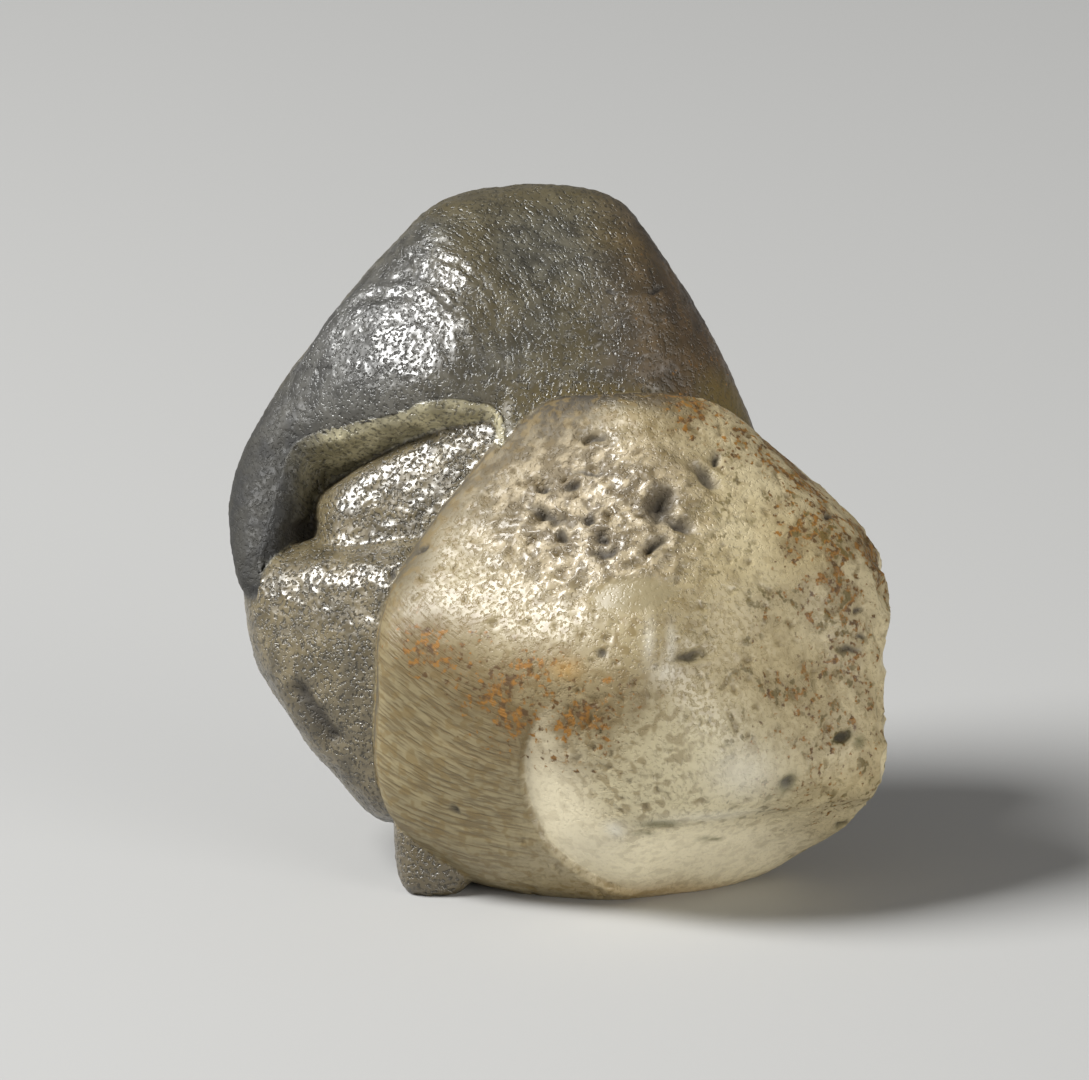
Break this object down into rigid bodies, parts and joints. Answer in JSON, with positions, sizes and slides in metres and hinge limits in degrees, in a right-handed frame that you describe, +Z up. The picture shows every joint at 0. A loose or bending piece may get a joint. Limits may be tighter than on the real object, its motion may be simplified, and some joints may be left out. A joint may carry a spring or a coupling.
{
  "type": "phenakite crystal",
  "caption": "Rough phenakite specimen: a smoky and a straw-yellow crystal grown together with a middle crystal between them, rounded faces, standing on a small flat spot.",
  "frame": {"origin": "on the level surface that the specimen stands on, under the middle of its outline box", "axes": "+Z up, +X to the right of somebody who sees the straw-yellow crystal in front, +Y away from that viewer"},
  "size_m": [0.012, 0.0104, 0.0119],
  "materials": {
    "phenakite": "translucent natural crystal, satin and pitted faces, smoky grey to straw yellow"
  },
  "bodies": {
    "root": {"phenakite_crystal": "phenakite"}
  },
  "joints": []
}
